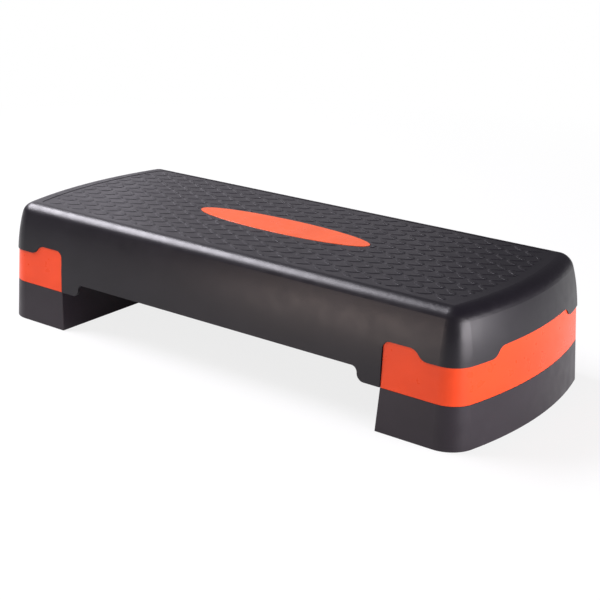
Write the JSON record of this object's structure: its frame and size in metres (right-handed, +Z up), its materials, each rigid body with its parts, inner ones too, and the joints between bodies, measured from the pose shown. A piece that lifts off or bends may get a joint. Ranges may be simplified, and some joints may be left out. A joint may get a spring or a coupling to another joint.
{
  "type": "aerobic step platform",
  "caption": "Long low exercise step with a tread top, an oval inlay, stepped end collars and riser feet that lift off to lower it.",
  "frame": {"origin": "centre of the footprint, on the floor", "axes": "+X along the length to the right, +Y across the depth to the back, +Z up"},
  "size_m": [0.71, 0.286, 0.15],
  "materials": {
    "deck_plastic": "satin moulded, black",
    "accent_plastic": "satin moulded, orange",
    "foot_plastic": "satin moulded, black",
    "rubber": "matt, soft",
    "screw_steel": "zinc plated"
  },
  "bodies": {
    "left_foot": {"left_foot": "foot_plastic", "left_foot_pad_front_inner": "rubber", "left_foot_pad_front_outer": "rubber", "left_foot_pad_rear_inner": "rubber", "left_foot_pad_rear_outer": "rubber"},
    "platform": {"deck": "deck_plastic", "deck_inlay": "accent_plastic", "left_collar": "accent_plastic", "left_collar_screws": "screw_steel", "left_collar_pad_front_inner": "rubber", "left_collar_pad_front_outer": "rubber", "left_collar_pad_rear_inner": "rubber", "left_collar_pad_rear_outer": "rubber", "right_collar": "accent_plastic", "right_collar_screws": "screw_steel", "right_collar_pad_front_inner": "rubber", "right_collar_pad_front_outer": "rubber", "right_collar_pad_rear_inner": "rubber", "right_collar_pad_rear_outer": "rubber"},
    "right_foot": {"right_foot": "foot_plastic", "right_foot_pad_front_inner": "rubber", "right_foot_pad_front_outer": "rubber", "right_foot_pad_rear_inner": "rubber", "right_foot_pad_rear_outer": "rubber"}
  },
  "joints": [
    {"name": "platform_lift", "type": "slide", "parent": "left_foot", "child": "platform", "axis": [0, 0, 1], "range_m": [0, 0.06]},
    {"name": "right_foot_drop", "type": "slide", "parent": "platform", "child": "right_foot", "axis": [0, 0, -1], "range_m": [0, 0.06]}
  ],
  "couplings": [
    {"joint": "right_foot_drop", "follows": "platform_lift", "ratio": 1}
  ]
}
